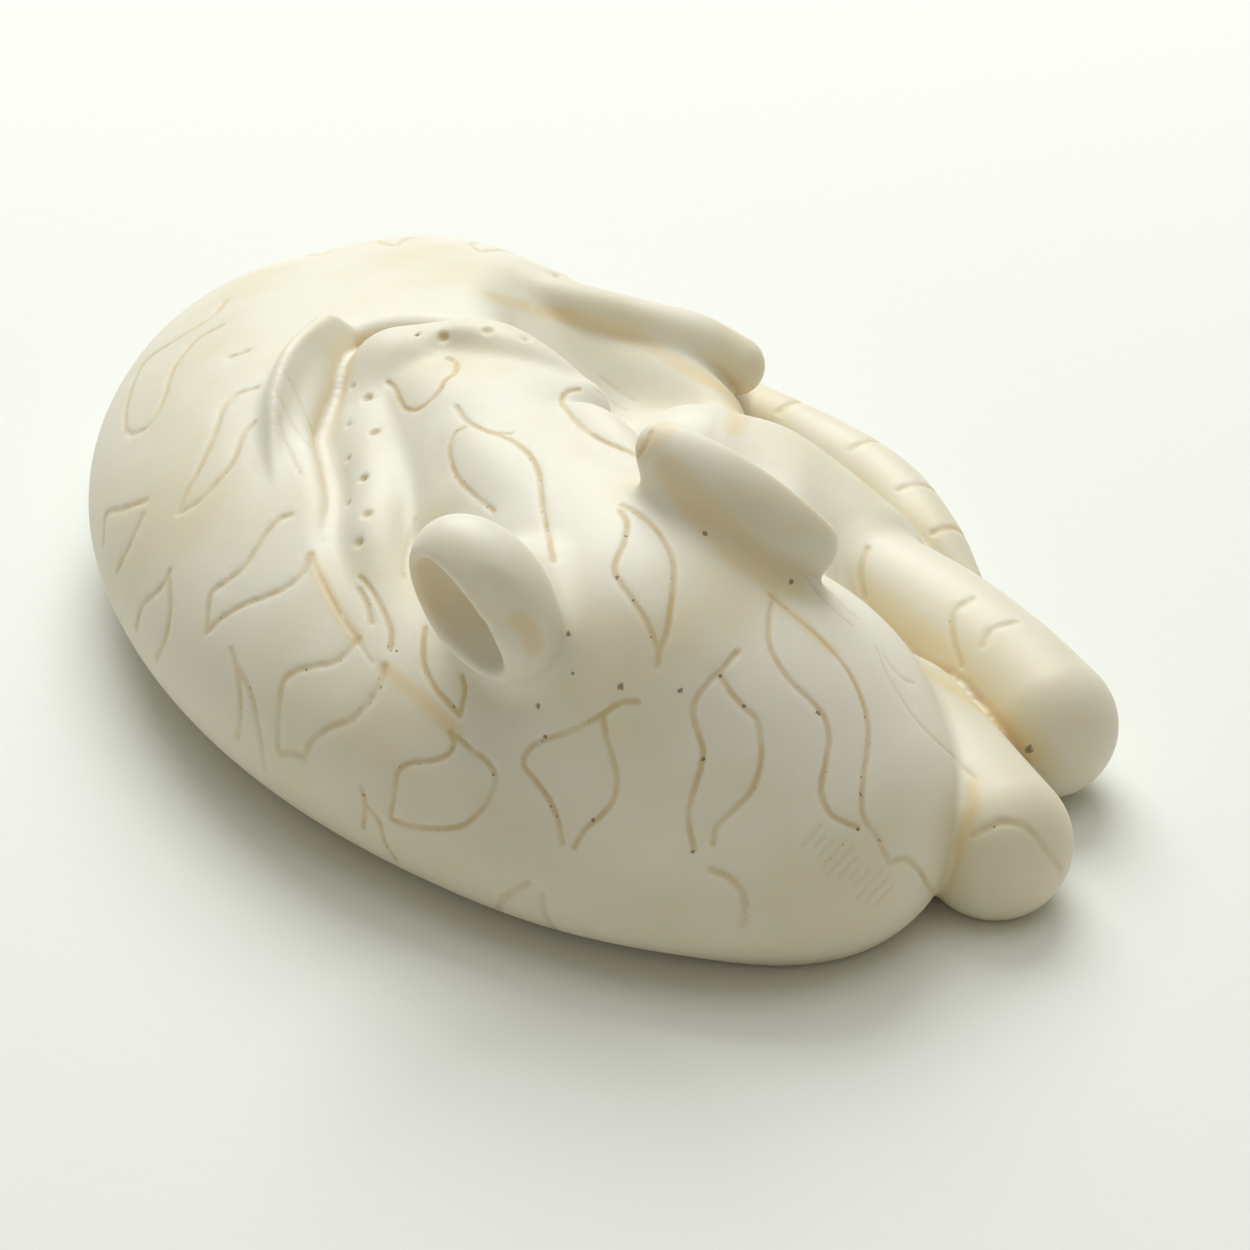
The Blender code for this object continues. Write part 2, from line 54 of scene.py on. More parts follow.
# The carver's grid
# The figure is worked out in millimetres on a grid of its own: +X towards the forepaws, -Y towards the
# spine, +Z up. GRID_TO_FRAME moves that grid to the frame of the finished part.
MM = 0.001
GRID_TO_FRAME = np.array((2.807, -0.519, -0.100))
LEVEL = np.eye(3)


def unit_vector(values):
    vector = np.array(values, float)
    return vector / np.linalg.norm(vector)


def turned(degrees):
    """Level axes turned about +Z."""
    angle = math.radians(degrees)
    across = (-math.sin(angle), math.cos(angle), 0.0)
    return np.array(((math.cos(angle), math.sin(angle), 0.0), across, (0.0, 0.0, 1.0)))


# The camera
# It stands where the photograph was taken from, level with its frame, 227 mm from the figure. The frame
# is 1250 pixels square and the lens is given in the same pixels, so a place seen there can be found here.
FRAME_PIXELS = 1250
LENS_PIXELS = 5400.0
SENSOR_MM = 36.0
AIM = np.array((3.1, -3.56, 6.3))
STANDS_OFF = 227.34
AZIMUTH, ELEVATION = math.radians(43.0), math.radians(32.0)
TOWARDS_CAMERA = np.array(
    (
        math.sin(AZIMUTH) * math.cos(ELEVATION),
        -math.cos(AZIMUTH) * math.cos(ELEVATION),
        math.sin(ELEVATION),
    )
)
FRAME_RIGHT = np.array((math.cos(AZIMUTH), math.sin(AZIMUTH), 0.0))
FRAME_UP = np.cross(TOWARDS_CAMERA, FRAME_RIGHT)
EYE = AIM + STANDS_OFF * TOWARDS_CAMERA

camera = bpy.data.objects.new("camera", bpy.data.cameras.new("camera"))
camera.data.sensor_width = SENSOR_MM
camera.data.lens = LENS_PIXELS * SENSOR_MM / FRAME_PIXELS
camera.data.clip_start = 0.01
camera.data.clip_end = 5.0
camera.matrix_world = Matrix.Translation(Vector((EYE + GRID_TO_FRAME) * MM)) @ Matrix(
    np.array((FRAME_RIGHT, FRAME_UP, TOWARDS_CAMERA)).T.tolist()
).to_4x4()
bpy.context.scene.collection.objects.link(camera)
bpy.context.scene.camera = camera


# The trunk
# The whole tiger is carved from one piece of pale, bone-like material, and lies curled on its side. The
# rump and the long back make the near rim, and the lap is hollowed between the head and the hind leg.
class Ball:
    """One rounded mass: an ellipsoid with its own axes."""

    def __init__(self, centre, radii, axes=LEVEL):
        self.centre = np.array(centre, float)
        self.radii = np.array(radii, float)
        self.axes = axes
        self.middle = self.centre
        self.reach = self.radii.max()

    def distance(self, points):
        local = (points - self.centre) @ self.axes.T
        share = np.linalg.norm(local / self.radii, axis=1)
        steepness = np.linalg.norm(local / self.radii**2, axis=1)
        return share * (share - 1) / np.maximum(steepness, 1e-9)


def smooth_path(knots, steps):
    """Points along a smooth curve through the knots, whose rows hold a place and may hold a radius too."""
    knots = np.array(knots, float)
    ends = np.vstack((2 * knots[0] - knots[1], knots, 2 * knots[-1] - knots[-2]))
    share = np.linspace(0, 1, steps, endpoint=False)[:, None]
    path = []
    for before, start, stop, after in zip(ends, ends[1:], ends[2:], ends[3:]):
        path.append(
            start
            + 0.5 * share * (stop - before)
            + share**2 * (before - 2.5 * start + 2 * stop - 0.5 * after)
            + share**3 * (1.5 * start - 0.5 * before - 1.5 * stop + 0.5 * after)
        )
    return np.vstack(path + [knots[-1:]])


class Limb:
    """A round limb that tapers along a smooth path; each knot is x, y, z and radius."""

    def __init__(self, knots):
        path = smooth_path(knots, 9)
        self.places = path[:, :3]
        self.radii = path[:, 3]
        self.middle = self.places.mean(axis=0)
        self.reach = (np.linalg.norm(self.places - self.middle, axis=1) + self.radii).max()

    def distance(self, points):
        """Measured from the two stretches of the path that meet at its nearest place."""
        squares = (points**2).sum(axis=1)[:, None] + (self.places**2).sum(axis=1)
        off = np.sqrt(np.maximum(squares - 2 * points @ self.places.T, 0)) - self.radii
        middle = off.argmin(axis=1)
        nearest = np.full(len(points), np.inf)
        for before in (1, 0):
            first = np.clip(middle - before, 0, len(self.places) - 2)
            start, along = self.places[first], self.places[first + 1] - self.places[first]
            share = np.clip(((points - start) * along).sum(axis=1) / (along**2).sum(axis=1), 0, 1)
            away = np.linalg.norm(points - start - share[:, None] * along, axis=1)
            radius = self.radii[first] + share * (self.radii[first + 1] - self.radii[first])
            nearest = np.minimum(nearest, away - radius)
        return nearest


RUMP = Ball((-9.0, -1.6, 5.2), (23.0, 15.0, 7.3), turned(-29))
BACK = Ball((-3.2, -5.0, 3.6), (25.0, 13.0, 6.2), turned(-11.7))
LAP = Ball((-5.5, 9.0, 12.2), (11.5, 6.6, 6.0), turned(-18))
BED = Ball((-3.0, 5.0, 1.6), (21.0, 11.6, 3.6), turned(-12))
HAUNCH = Ball((-18.2, 7.8, 5.2), (8.4, 6.2, 5.4), turned(-24))
NECK = Limb(((8.5, -8.5, 8.2, 6.6), (12.5, -7.4, 6.4, 6.3), (16.4, -6.8, 4.3, 5.5)))
CHEST = Ball((11.2, -4.6, 4.2), (8.6, 7.6, 7.2), turned(-30))

# The head
# It is laid back on the flank with its own axes: forward to the nose, across to the right ear, and up
# through the forehead. Two rolls carry the whiskers and meet under the nose; the eyes are closed.
FORWARD = unit_vector((-0.929, 0.372, -0.020))
ACROSS = np.array((0.337, 0.860, 0.377))
ACROSS = unit_vector(ACROSS - FORWARD * (ACROSS @ FORWARD))
CROWN = np.cross(FORWARD, ACROSS)
CROWN = CROWN * np.sign(CROWN[2])
HEAD_AXES = np.array((FORWARD, ACROSS, CROWN))
BETWEEN_EARS = np.array((8.4, -10.2, 14.0))


def on_head(forward, across, up):
    """A place given from the point between the ears, along the head's own axes."""
    return BETWEEN_EARS + np.array((forward, across, up)) @ HEAD_AXES


def on_head_all(rows):
    """The same for rows of forward, across, up and a radius."""
    return [(*on_head(*row[:3]), row[3]) for row in rows]


SKULL = Ball(on_head(2.0, -0.4, -6.0), (8.5, 7.2, 6.8), HEAD_AXES)
BRIDGE = Ball(on_head(9.5, -0.6, -4.6), (8.0, 6.2, 4.9), HEAD_AXES)
CHEEK = Ball(on_head(6.5, -4.2, -5.8), (8.0, 4.6, 4.2), HEAD_AXES)
MUZZLE = Ball(on_head(16.0, -0.3, -3.9), (5.8, 5.3, 3.9), HEAD_AXES)
LEFT_PAD = Limb(
    on_head_all(((22.4, -0.6, -2.6, 2.2), (18.8, -3.7, -2.8, 2.1), (13.4, -5.4, -3.5, 1.9)))
)
RIGHT_PAD = Limb(
    on_head_all(((22.6, -0.2, -2.7, 2.3), (20.2, 2.8, -2.7, 2.2), (15.8, 4.4, -3.9, 1.7)))
)
JOWL = Limb(
    on_head_all(
        (
            (18.8, -3.3, -2.5, 1.9),
            (16.2, -4.1, -1.8, 1.7),
            (13.8, -5.0, -1.5, 1.6),
            (11.6, -6.1, -1.3, 1.5),
            (9.4, -7.0, -1.7, 1.4),
            (7.2, -7.7, -2.4, 1.2),
            (5.0, -7.9, -3.4, 0.9),
        )
    )
)
NOSE = Ball(on_head(17.9, -0.2, -1.2), (2.7, 1.7, 1.1), HEAD_AXES)
CHIN = Ball(on_head(18.6, -0.2, -6.0), (3.4, 3.4, 1.9), HEAD_AXES)
HOLLOW_BAND = Limb(
    on_head_all(((20.4, 1.8, -0.2, 0.3), (18.2, 3.4, -0.3, 0.5), (16.5, 5.6, -2.1, 0.3)))
)
LEFT_EYE = Ball(on_head(10.2, -0.5, -0.7), (4.4, 1.5, 1.0), HEAD_AXES)
RIGHT_EYE = Ball(on_head(10.0, 4.0, -2.1), (3.8, 1.4, 1.1), HEAD_AXES)
HEAD = (
    (BRIDGE, 2.0),
    (MUZZLE, 1.5),
    (CHEEK, 2.0),
    (LEFT_PAD, 1.2),
    (JOWL, 0.8),
    (RIGHT_PAD, 1.4),
    (NOSE, 0.6),
    (CHIN, 0.6),
    (LEFT_EYE, 0.5),
    (RIGHT_EYE, 0.5),
)

# The ears
# Each is a thick-walled cup on its side. The left one opens towards the viewer and has a fold inside; the
# right one shows its smooth back.
LEFT_OPENS = unit_vector((-0.096, -0.965, -0.215))
LEFT_LONG = unit_vector((0.716, 0.083, -0.687))
LEFT_AXES = np.array((LEFT_LONG, np.cross(LEFT_OPENS, LEFT_LONG), LEFT_OPENS))
LEFT_EAR_PLACE = np.array((6.45, -16.2, 14.2))
RIGHT_LONG = unit_vector((0.809, 0.358, -0.466))
RIGHT_OPENS = unit_vector((0.099, 0.698, 0.709))
RIGHT_AXES = np.array((RIGHT_LONG, np.cross(RIGHT_OPENS, RIGHT_LONG), RIGHT_OPENS))
RIGHT_EAR_PLACE = np.array((9.5, -3.8, 15.2))
LEFT_EAR = Ball(LEFT_EAR_PLACE - 0.8 * LEFT_OPENS, (3.7, 3.1, 2.5), LEFT_AXES)
LEFT_HOLLOW = Ball(LEFT_EAR_PLACE + (0.0, -0.08, 1.6) @ LEFT_AXES, (2.9, 2.15, 3.4), LEFT_AXES)
LEFT_CHANNEL = Limb(((8.6, -17.1, 16.6, 0.5), (9.6, -16.8, 15.6, 0.75), (10.2, -16.3, 14.3, 0.5)))
LEFT_ROOT = Limb(((6.0, -14.6, 13.7, 1.9), (5.0, -12.8, 12.5, 2.4)))
RIGHT_EAR = Ball(RIGHT_EAR_PLACE, (4.7, 2.4, 2.2), RIGHT_AXES)
RIGHT_HOLLOW = Ball(RIGHT_EAR_PLACE + 1.9 * RIGHT_OPENS, (3.8, 1.4, 2.2), RIGHT_AXES)
EARS = (((LEFT_EAR, LEFT_ROOT), (LEFT_HOLLOW, LEFT_CHANNEL)), ((RIGHT_EAR,), (RIGHT_HOLLOW,)))

# The limbs and the tail
# Hind leg and the foot under it, foreleg, second forepaw, the paw that stands beside the muzzle, and the
# tail, which follows the far rim and ends beside the foreleg.
HIND_LEG = Limb(
    (
        (-17.4, 9.4, 9.3, 1.4),
        (-14.6, 11.1, 9.1, 1.2),
        (-12.3, 13.1, 8.4, 1.1),
        (-10.1, 15.0, 7.4, 1.3),
        (-8.5, 16.2, 6.2, 1.4),
    )
)
THIGH = Limb(
    (
        (-14.1, 10.5, 6.4, 2.0),
        (-10.7, 12.4, 5.6, 2.2),
        (-7.8, 13.1, 4.6, 2.0),
    )
)
HIND_FOOT = Limb(((-17.3, 12.6, 5.6, 3.0), (-13.3, 14.6, 4.4, 2.5), (-10.4, 16.2, 3.2, 2.1)))
UPPER_ARM = Limb(((-2.6, 7.2, 5.4, 4.2), (0.6, 8.9, 4.9, 3.6), (4.6, 9.4, 4.3, 2.9)))
FOREARM = Limb(
    ((5.3, 8.7, 4.2, 2.5), (10.6, 8.2, 4.0, 2.7), (14.7, 7.3, 3.6, 2.9), (17.9, 6.4, 3.0, 3.1))
)
SECOND_PAW = Limb(((14.0, 1.0, 3.2, 3.6), (21.6, -1.3, 2.6, 3.2)))
PAW_FACE = np.array((-15.8, -3.6, 13.3))
PAW_FACE_OUT = unit_vector((0.66, 0.25, 0.70))


class FacedLimb(Limb):
    """A limb with one side cut flat."""

    def distance(self, points):
        beyond = (points - PAW_FACE) @ PAW_FACE_OUT
        return -joined(-super().distance(points), -beyond, 0.4)


CHIN_PAW = FacedLimb(
    (
        (-16.1, -1.9, 12.0, 1.2),
        (-14.5, -4.2, 11.8, 1.9),
        (-12.9, -6.1, 11.5, 2.1),
        (-11.1, -7.9, 11.2, 1.9),
        (-9.5, -9.3, 10.9, 1.5),
        (-8.0, -10.6, 10.5, 1.0),
        (-6.0, -12.1, 10.1, 0.7),
    )
)
TAIL = Limb(
    (
        (-25.0, 4.0, 4.4, 3.0),
        (-22.6, 12.0, 3.2, 2.5),
        (-14.0, 17.2, 2.2, 2.0),
        (-7.0, 18.2, 2.0, 1.9),
        (-1.0, 17.6, 2.1, 1.8),
        (3.4, 16.0, 1.9, 1.5),
        (6.4, 14.9, 1.3, 0.9),
    )
)
REST = (
    (CHIN_PAW, 0.6),
    (UPPER_ARM, 2.5),
    (HIND_FOOT, 0.8),
    (THIGH, 1.2),
    (HIND_LEG, 0.5),
    (TAIL, 0.4),
    (FOREARM, 0.5),
    (SECOND_PAW, 0.4),
)


# The skin
# All masses run into each other with small fillets. A valley round the muzzle parts the head from the
# flank that it lies on. The skin is the solid's own mesh, made finer and settled onto those masses.
VALLEY_FLOOR = 10.9
VALLEY_GAP = 0.7
VALLEY_SPREAD = 0.35
MOST_AT_ONCE = 12000
BATCH = 8000


def joined(first, second, blend):
    """Two distances made one, with a fillet about a quarter of the blend deep where the masses meet."""
    share = np.clip(0.5 + 0.5 * (second - first) / blend, 0, 1)
    return second + (first - second) * share - blend * share * (1 - share)


def join_to(nearest, points, mass, blend):
    """The distance with one more mass, worked out only where that mass can matter."""
    far = np.linalg.norm(points - mass.middle, axis=1) - mass.reach
    close = far < nearest + blend
    result = nearest.copy()
    result[close] = joined(nearest[close], mass.distance(points[close]), blend)
    return result


def group(points, first, others):
    nearest = first.distance(points)
    for mass, blend in others:
        nearest = join_to(nearest, points, mass, blend)
    return nearest


def field(points):
    """How far each point lies outside the figure's skin, in mm; negative inside."""
    if len(points) > MOST_AT_ONCE:
        return np.concatenate([field(some) for some in np.array_split(points, len(points) // BATCH)])
    height = points[:, 2]
    nearest = joined(RUMP.distance(points), BACK.distance(points), 2.0)
    nearest = -joined(-nearest, LAP.distance(points), 1.5)
    nearest = join_to(nearest, points, BED, 1.5)
    nearest = join_to(nearest, points, HAUNCH, 2.0)
    head = group(points, SKULL, HEAD)
    head = -joined(-head, HOLLOW_BAND.distance(points), 1.2)
    valley = (head - VALLEY_GAP - VALLEY_SPREAD * (height - VALLEY_FLOOR)) / math.hypot(1, VALLEY_SPREAD)
    valley = np.maximum(valley, VALLEY_FLOOR - height)
    nearest = -joined(-nearest, valley, 1.0)
    nearest = joined(nearest, group(points, NECK, ((CHEST, 3.0),)), 3.0)
    for mass, blend in REST:
        nearest = join_to(nearest, points, mass, blend)
    nearest = joined(nearest, head, 0.5)
    for (ear, *root), hollows in EARS:
        cup = group(points, ear, [(mass, 1.0) for mass in root])
        for hollow in hollows:
            cup = -joined(-cup, hollow.distance(points), 0.6)
        nearest = joined(nearest, cup, 1.5)
    return np.maximum(nearest, -height)


def slope(points, step=0.04):
    """The direction straight out of the skin at each point."""
    corners = np.array(((1, -1, -1), (-1, -1, 1), (-1, 1, -1), (1, 1, 1)), float)
    out = sum(corner * field(points + corner * step)[:, None] for corner in corners)
    return out / np.maximum(np.linalg.norm(out, axis=1, keepdims=True), 1e-9)


def settled(points, passes, furthest):
    """Points brought onto the skin, moving no further than this in one pass."""
    for _ in range(passes):
        off = np.clip(field(points), -furthest, furthest)
        points = points - off[:, None] * slope(points)
    return points


def places_of(mesh):
    flat = np.empty(len(mesh.vertices) * 3)
    mesh.vertices.foreach_get("co", flat)
    return flat.reshape(-1, 3)


def normals_of(mesh):
    flat = np.empty(len(mesh.vertices) * 3)
    mesh.vertex_normals.foreach_get("vector", flat)
    return flat.reshape(-1, 3)


def set_places(mesh, points):
    mesh.vertices.foreach_set("co", points.ravel())
    mesh.update()


def with_modifier(mesh, kind, **settings):
    """The mesh as one modifier leaves it."""
    holder = bpy.data.objects.new("working", mesh)
    bpy.context.scene.collection.objects.link(holder)
    modifier = holder.modifiers.new("working", kind)
    for name, value in settings.items():
        setattr(modifier, name, value)
    graph = bpy.context.evaluated_depsgraph_get()
    result = bpy.data.meshes.new_from_object(holder.evaluated_get(graph))
    bpy.data.objects.remove(holder)
    bpy.data.meshes.remove(mesh)
    return result


SKIN_STEP = 0.125
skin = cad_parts["tiger"].data.copy()
skin.materials.clear()
set_places(skin, places_of(skin) / MM - GRID_TO_FRAME)
COARSER_STEPS = (3, 3, 2)
for coarser in COARSER_STEPS:
    set_places(skin, settled(places_of(skin), 3, 0.3))
    skin = with_modifier(skin, "REMESH", mode="VOXEL", voxel_size=coarser * SKIN_STEP)
    skin = with_modifier(skin, "SMOOTH", factor=0.5, iterations=2)
set_places(skin, settled(places_of(skin), 2, 0.3))
skin = with_modifier(skin, "REMESH", mode="VOXEL", voxel_size=SKIN_STEP)
skin = with_modifier(skin, "SMOOTH", factor=0.5, iterations=4)
set_places(skin, settled(places_of(skin), 2, 0.25))
skin = with_modifier(skin, "SMOOTH", factor=0.5, iterations=5)
smooth_places = places_of(skin)

# The carved lines
# Fine grooves cut with a graver: the outlines of the stripes, the closed eyes, nose, claws and creases.
# Those in view are placed by their pixels in the photograph's frame and dropped onto the skin.


def seen(pixels):
    """The places on the skin that these pixels of the photograph's frame look at."""
    pixels = np.array(pixels, float)
    sight = (
        -TOWARDS_CAMERA * LENS_PIXELS
        + FRAME_RIGHT * (pixels[:, :1] - FRAME_PIXELS / 2)
        - FRAME_UP * (pixels[:, 1:] - FRAME_PIXELS / 2)
    )
    sight /= np.linalg.norm(sight, axis=1, keepdims=True)
    points = EYE + sight * (STANDS_OFF - 22.0)
    for _ in range(60):
        step = np.clip(field(points) * 0.85, -2, 6)
        points = points + sight * step[:, None]
        if np.abs(step).max() < 0.01:
            break
    return settled(points, 2, 0.5)


def seen_lines(*lines):
    """Lines through pixels of the photograph's frame, as close-set places on the skin."""
    paths = [smooth_path(pixels, 14) for pixels in lines]
    ends = np.cumsum([len(path) for path in paths])[:-1]
    return np.split(seen(np.vstack(paths)), ends)


def line(knots):
    """A carved line through a few places near the skin, as close-set places on it."""
    return settled(smooth_path(knots, 30), 6, 0.5)


def leaf(start, stop, width, bend=0.0, sway=0.0):
    """The outline of one stripe, pointed at both ends: bend bows it to one side, sway gives it an S."""
    start = np.array(start, float)
    run = np.array(stop, float) - start
    across = unit_vector(np.cross(slope((start + run / 2)[None])[0], run))
    share = np.linspace(0, 1, int(16 * np.linalg.norm(run)))
    shift = bend * 4 * share * (1 - share) + sway * np.sin(2 * math.pi * share)
    half = width / 2 * np.sin(math.pi * share) ** 0.8
    edges = []
    for side in (-1, 1):
        ripple = 0.09 * width * np.sin(3 * math.pi * share + side)
        off = shift + side * half + ripple * np.sin(math.pi * share)
        edges.append(start + run * share[:, None] + across * off[:, None])
    return settled(np.vstack(edges), 6, 0.5)


neck_stripes = seen_lines(
    (
        (738, 652), (724, 668), (709, 683), (696, 700), (693, 716), (699, 738), (703, 752),
        (700, 772), (692, 798), (688, 820), (694, 851),
    ),
    (
        (720, 676), (728, 690), (743, 708), (756, 721), (761, 745), (760, 768), (751, 793),
        (733, 812), (717, 828), (713, 846),
    ),
    (
        (772, 604), (769, 622), (770, 646), (778, 664), (792, 684), (810, 701), (824, 718),
        (829, 737), (827, 758), (822, 782), (822, 798), (830, 815), (845, 824), (858, 829),
    ),
    (
        (771, 596), (790, 613), (812, 631), (832, 652), (849, 673), (861, 698), (868, 724),
        (868, 748), (864, 776), (862, 800), (864, 820), (876, 838), (889, 863),
    ),
    ((889, 864), (905, 860), (918, 870), (929, 888), (936, 897)),
)
back_stripes = seen_lines(
    (
        (638, 703), (621, 704), (600, 717), (578, 729), (557, 737), (537, 744), (525, 756), (525, 769),
        (537, 784), (549, 801), (557, 820), (562, 845),
    ),
    ((603, 719), (606, 738), (612, 758), (617, 780), (613, 802), (600, 818), (585, 831), (574, 849)),
    ((450, 733), (454, 744), (449, 755), (433, 762), (412, 764), (398, 773), (395, 792), (390, 820)),
    (
        (391, 821), (407, 827), (430, 830), (460, 828), (479, 814), (491, 796), (495, 778), (487, 763),
        (470, 750), (457, 738),
    ),
    ((361, 789), (365, 806), (363, 830)),
    ((366, 807), (379, 824), (385, 845), (396, 863)),
    ((425, 629), (423, 650), (425, 670), (434, 688), (447, 703), (460, 717)),
    ((462, 677), (465, 690), (461, 713)),
)
flank_stripes = seen_lines(
    ((290, 516), (278, 521), (265, 535), (255, 551), (243, 569), (226, 583), (210, 597), (206, 634)),
    ((206, 634), (222, 619), (244, 606), (268, 597), (288, 587), (302, 574), (311, 556)),
    (
        (358, 640), (345, 655), (333, 664), (312, 668), (293, 674), (282, 686), (279, 712), (278, 751),
        (290, 754), (304, 758),
    ),
    ((304, 758), (313, 741), (330, 729), (352, 721), (370, 702), (381, 682), (384, 668)),
    ((231, 652), (237, 676), (240, 700), (240, 720), (237, 740)),
    ((238, 671), (250, 694), (257, 722), (264, 770)),
    ((169, 573), (160, 590), (142, 608), (136, 631)),
    ((168, 579), (170, 612), (165, 640), (156, 660)),
    ((146, 502), (123, 510), (106, 516), (103, 545)),
    ((143, 516), (129, 548), (117, 573)),
    ((256, 389), (238, 395), (224, 409), (215, 432), (203, 462), (188, 490), (178, 514)),
    ((254, 424), (243, 436), (233, 462), (215, 485), (198, 503), (182, 513)),
    ((225, 302), (211, 318), (182, 337), (144, 364), (128, 401), (125, 428), (131, 436)),
    ((131, 436), (147, 428), (163, 401), (174, 369), (195, 342), (222, 326)),
    ((230, 358), (247, 352)),
)
face_lines = seen_lines(
    (
        (620, 511), (627, 524), (624, 543), (616, 561), (614, 572), (621, 586), (633, 602), (645, 620),
        (653, 637), (658, 652),
    ),
    (
        (621, 505), (636, 513), (652, 526), (665, 543), (673, 561), (674, 583), (671, 606), (667, 632),
        (660, 652), (657, 668),
    ),
    ((456, 407), (464, 419), (476, 427), (492, 433), (511, 434)),
    (
        (488, 433), (503, 437), (519, 446), (532, 459), (539, 475), (541, 496), (544, 518), (549, 540),
        (554, 562),
    ),
    ((464, 428), (454, 435), (449, 449), (452, 467), (460, 482), (475, 497), (494, 512)),
    ((580, 390), (567, 393), (562, 403), (570, 415), (583, 429), (604, 442), (625, 451), (637, 457)),
    ((637, 457), (645, 447), (650, 433)),
    ((447, 359), (456, 364), (455, 373), (445, 381), (440, 390), (429, 402), (416, 411), (404, 409)),
    ((404, 409), (399, 399), (395, 389), (388, 383)),
    ((360, 578), (372, 592), (383, 612), (391, 634), (390, 650)),
    ((359, 590), (367, 606), (371, 624)),
)
paw_lines = seen_lines(
    ((973, 837), (993, 827), (1007, 824), (1027, 830), (1047, 853), (1062, 872)),
    ((973, 600), (956, 611), (952, 628), (955, 648), (961, 667)),
    ((1017, 623), (993, 630), (982, 647)),
    ((867, 550), (860, 575), (865, 603)),
    ((711, 872), (727, 878), (741, 893), (745, 908), (743, 928)),
    ((497, 915), (502, 903), (513, 894), (528, 885)),
    ((542, 897), (543, 911), (549, 925), (556, 933)),
)
haunch_stripes = []
for place in range(4):
    top = (-24.8 + 3.1 * place, 6.2 + 1.7 * place, 8.9)
    foot = (-26.6 + 3.3 * place, 9.6 + 1.8 * place, 4.6)
    haunch_stripes.append(leaf(top, foot, 1.7, 0.2, 0.25))
tail_rings = []
for place in range(13, len(TAIL.places) - 5, 7):
    along = TAIL.places[place + 1] - TAIL.places[place - 1]
    outward = unit_vector(np.cross((0.0, 0.0, 1.0), along))
    turns = np.radians((-30, 20, 70, 110))
    arc = [(math.cos(turn) * outward, math.sin(turn)) for turn in turns]
    rim = [TAIL.places[place] + TAIL.radii[place] * (side + (0, 0, up)) for side, up in arc]
    tail_rings.append(line(rim))

# The lightest lines
# Thin scratched strokes: the claws of the paw beside the muzzle, the edge of the jowl, the folds behind
# the cheek, the long fold from ear to paw, the right eye's lashes, and strokes of fur over the chest.
thin_lines = seen_lines(
    ((285, 372), (295, 392), (305, 412), (314, 436)),
    ((276, 390), (285, 410), (297, 432), (312, 449)),
    ((280, 420), (287, 446), (300, 475)),
    ((311, 556), (320, 578), (331, 600), (344, 622), (357, 641), (372, 664)),
    ((805, 578), (820, 597), (838, 615), (853, 627)),
    ((814, 578), (829, 592), (844, 608), (858, 620)),
    ((877, 649), (886, 672), (899, 696), (915, 720), (935, 741), (952, 757)),
    ((884, 655), (893, 670), (906, 682), (914, 684)),
    ((952, 757), (964, 770), (975, 780)),
    ((587, 383), (607, 400), (627, 412)),
    ((600, 378), (618, 392), (634, 402)),
    ((415, 520), (410, 540), (404, 560), (403, 580)),
)
# A row of short strokes of fur on the chest, in the same pixels
STROKES = 11
STROKES_START = (812, 838)
STROKES_RUN = (72, 60)
STROKE_SLANT = (9.0, -10.0)
strokes = []
for stroke in range(STROKES):
    along = stroke / (STROKES - 1)
    middle = np.array(STROKES_START) + np.array(STROKES_RUN) * along
    slant = np.array(STROKE_SLANT) * (1.0 + 0.5 * math.sin(5 * stroke))
    strokes.append((middle - slant, middle + slant))
thin_lines += seen_lines(*strokes)
grooves = np.vstack(neck_stripes + back_stripes + face_lines)
soft_grooves = np.vstack(flank_stripes + paw_lines + haunch_stripes + tail_rings)
scratches = np.vstack(thin_lines)

# The deeper cuts
# The mouth under the right whisker roll is cut wider and deeper than the stripes. Round pits for the
# whiskers are drilled in both rolls.
creases = line(
    [on_head(*knot) for knot in ((23.9, 1.2, -4.8), (22.4, 4.4, -5.0), (20.0, 6.0, -5.2), (15.5, 6.6, -5.6))]
)
pits = seen([(367, 399), (374, 433), (363, 479), (367, 515), (358, 544), (443, 338), (488, 331)])
small_pits = seen([(348, 426), (348, 460), (348, 505), (352, 388), (417, 335), (527, 340)])

# Each kind of cut: where it runs, its width and its depth in mm
CUTS = (
    (grooves, 0.32, 0.07),
    (soft_grooves, 0.44, 0.08),
    (scratches, 0.28, 0.045),
    (creases, 0.60, 0.16),
    (pits, 0.60, 0.17),
    (small_pits, 0.42, 0.10),
)


def cells_of(points, size):
    """The number of the coarse cell that each point lies in."""
    corner = np.floor(points / size).astype(np.int64) + 500
    return (corner[:, 0] * 1000 + corner[:, 1]) * 1000 + corner[:, 2]


def depth_at(points, marks, width):
    """How deep each point lies in the marks, from 0 at the edge of a mark to 1 in its middle."""
    reach = width / 2
    steps = np.array([(x, y, z) for x in (-1, 0, 1) for y in (-1, 0, 1) for z in (-1, 0, 1)]) * reach
    beside = np.unique(np.concatenate([cells_of(marks + step, reach) for step in steps]))
    close = np.nonzero(np.isin(cells_of(points, reach), beside))[0]
    tree = kdtree.KDTree(len(marks))
    for number, mark in enumerate(marks):
        tree.insert(mark, number)
    tree.balance()
    deep = np.zeros(len(points))
    off = np.array([tree.find(point)[2] for point in points[close]])
    deep[close] = np.clip(1 - (off / reach) ** 2, 0, 1)
    return deep


def cut_at(points):
    """How deep the graver goes at each point of the smooth skin, in mm."""
    chatter = 0.8 + 0.2 * np.sin(points @ np.array((5.0, 4.0, 4.5)))
    deep = np.zeros(len(points))
    for marks, width, depth in CUTS:
        deep = np.maximum(deep, depth * chatter * depth_at(points, marks, width))
    return deep


cut = cut_at(smooth_places)
set_places(skin, smooth_places - normals_of(skin) * cut[:, None])

